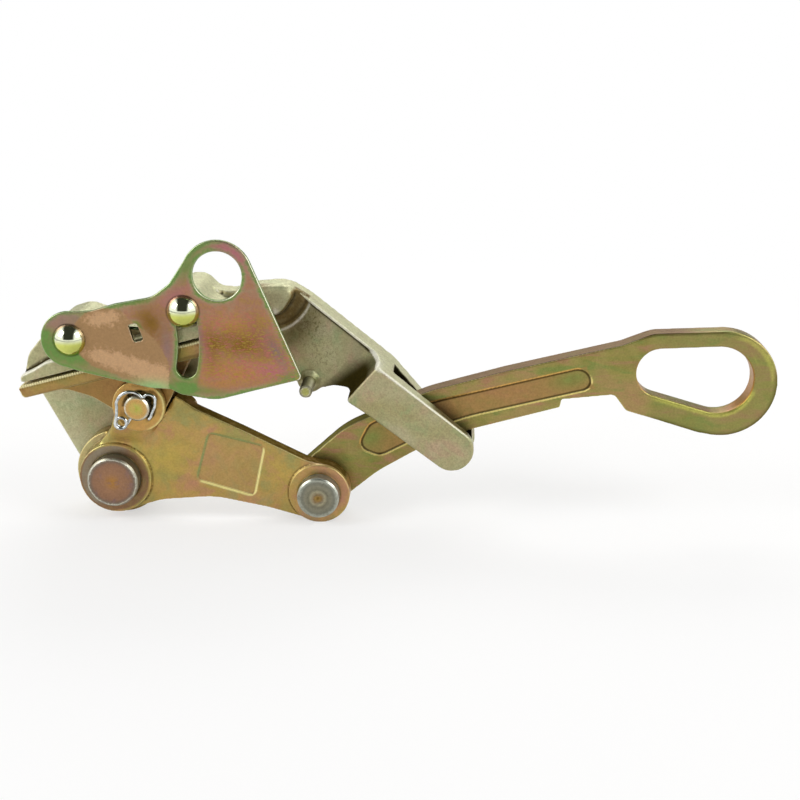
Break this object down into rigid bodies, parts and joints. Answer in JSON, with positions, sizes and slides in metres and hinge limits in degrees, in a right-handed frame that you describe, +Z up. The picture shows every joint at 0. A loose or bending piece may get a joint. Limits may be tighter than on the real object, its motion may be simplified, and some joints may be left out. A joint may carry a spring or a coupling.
{
  "type": "cable grip",
  "caption": "Parallel-jaw cable grip with a bell crank link, a curved shank with a pulling eye and a swing latch with a hot stick ear.",
  "frame": {"origin": "on the axis of the gripped cable, between the two jaws, in the middle of their width", "axes": "+X from the jaws towards the pulling eye, +Z up, +Y from the latch side towards the frame's back wall; the cable axis lies in the XZ plane, 15 degrees above +X"},
  "size_m": [0.3442, 0.0494, 0.1346],
  "materials": {
    "forged_frame": "dull khaki zinc plating on a grit-blasted forging",
    "forged_link": "satin yellow zinc plating with olive and orange tints",
    "forged_jaw": "satin yellow zinc plating on a forging",
    "forged_shank": "satin yellow zinc plating with pink and green tints",
    "latch_sheet": "satin yellow zinc plated sheet with pink and green tints",
    "pin_steel": "turned steel with thin zinc plating",
    "rivet_steel": "bright yellow zinc plating",
    "spacer_steel": "turned steel with zinc plating",
    "clip_wire": "bright plated spring wire",
    "spring_wire": "dark spring wire"
  },
  "bodies": {
    "frame": {"frame": "forged_frame", "main_pivot_pin": "pin_steel", "latch_pivot_rivet": "rivet_steel", "latch_guide_rivet": "rivet_steel", "latch_pivot_spacer": "spacer_steel", "latch_guide_spacer": "spacer_steel", "latch_spring": "spring_wire"},
    "link": {"link": "forged_link", "jaw_pin": "pin_steel", "jaw_pin_clip": "clip_wire", "shank_pin": "pin_steel"},
    "lower_jaw": {"lower_jaw": "forged_jaw"},
    "shank": {"shank": "forged_shank"},
    "latch": {"latch_plate": "latch_sheet"}
  },
  "joints": [
    {"name": "link_pivot", "type": "hinge", "parent": "frame", "child": "link", "pos_m": [-0.011, 0, -0.0599], "axis": [0, -1, 0], "range_deg": [-30, 0]},
    {"name": "jaw_pivot", "type": "hinge", "parent": "link", "child": "lower_jaw", "pos_m": [0.00318, 0, -0.02314], "axis": [0, -1, 0], "range_deg": [0, 30]},
    {"name": "shank_pivot", "type": "hinge", "parent": "link", "child": "shank", "pos_m": [0.08429, 0, -0.06623], "axis": [0, -1, 0], "range_deg": [0, 60]},
    {"name": "latch_swing", "type": "hinge", "parent": "frame", "child": "latch", "pos_m": [-0.0248, 0, 0.0089], "axis": [0, -1, 0], "range_deg": [0, 28]}
  ],
  "couplings": [
    {"joint": "jaw_pivot", "follows": "link_pivot", "ratio": -1},
    {"joint": "shank_pivot", "follows": "link_pivot", "ratio": -2}
  ]
}
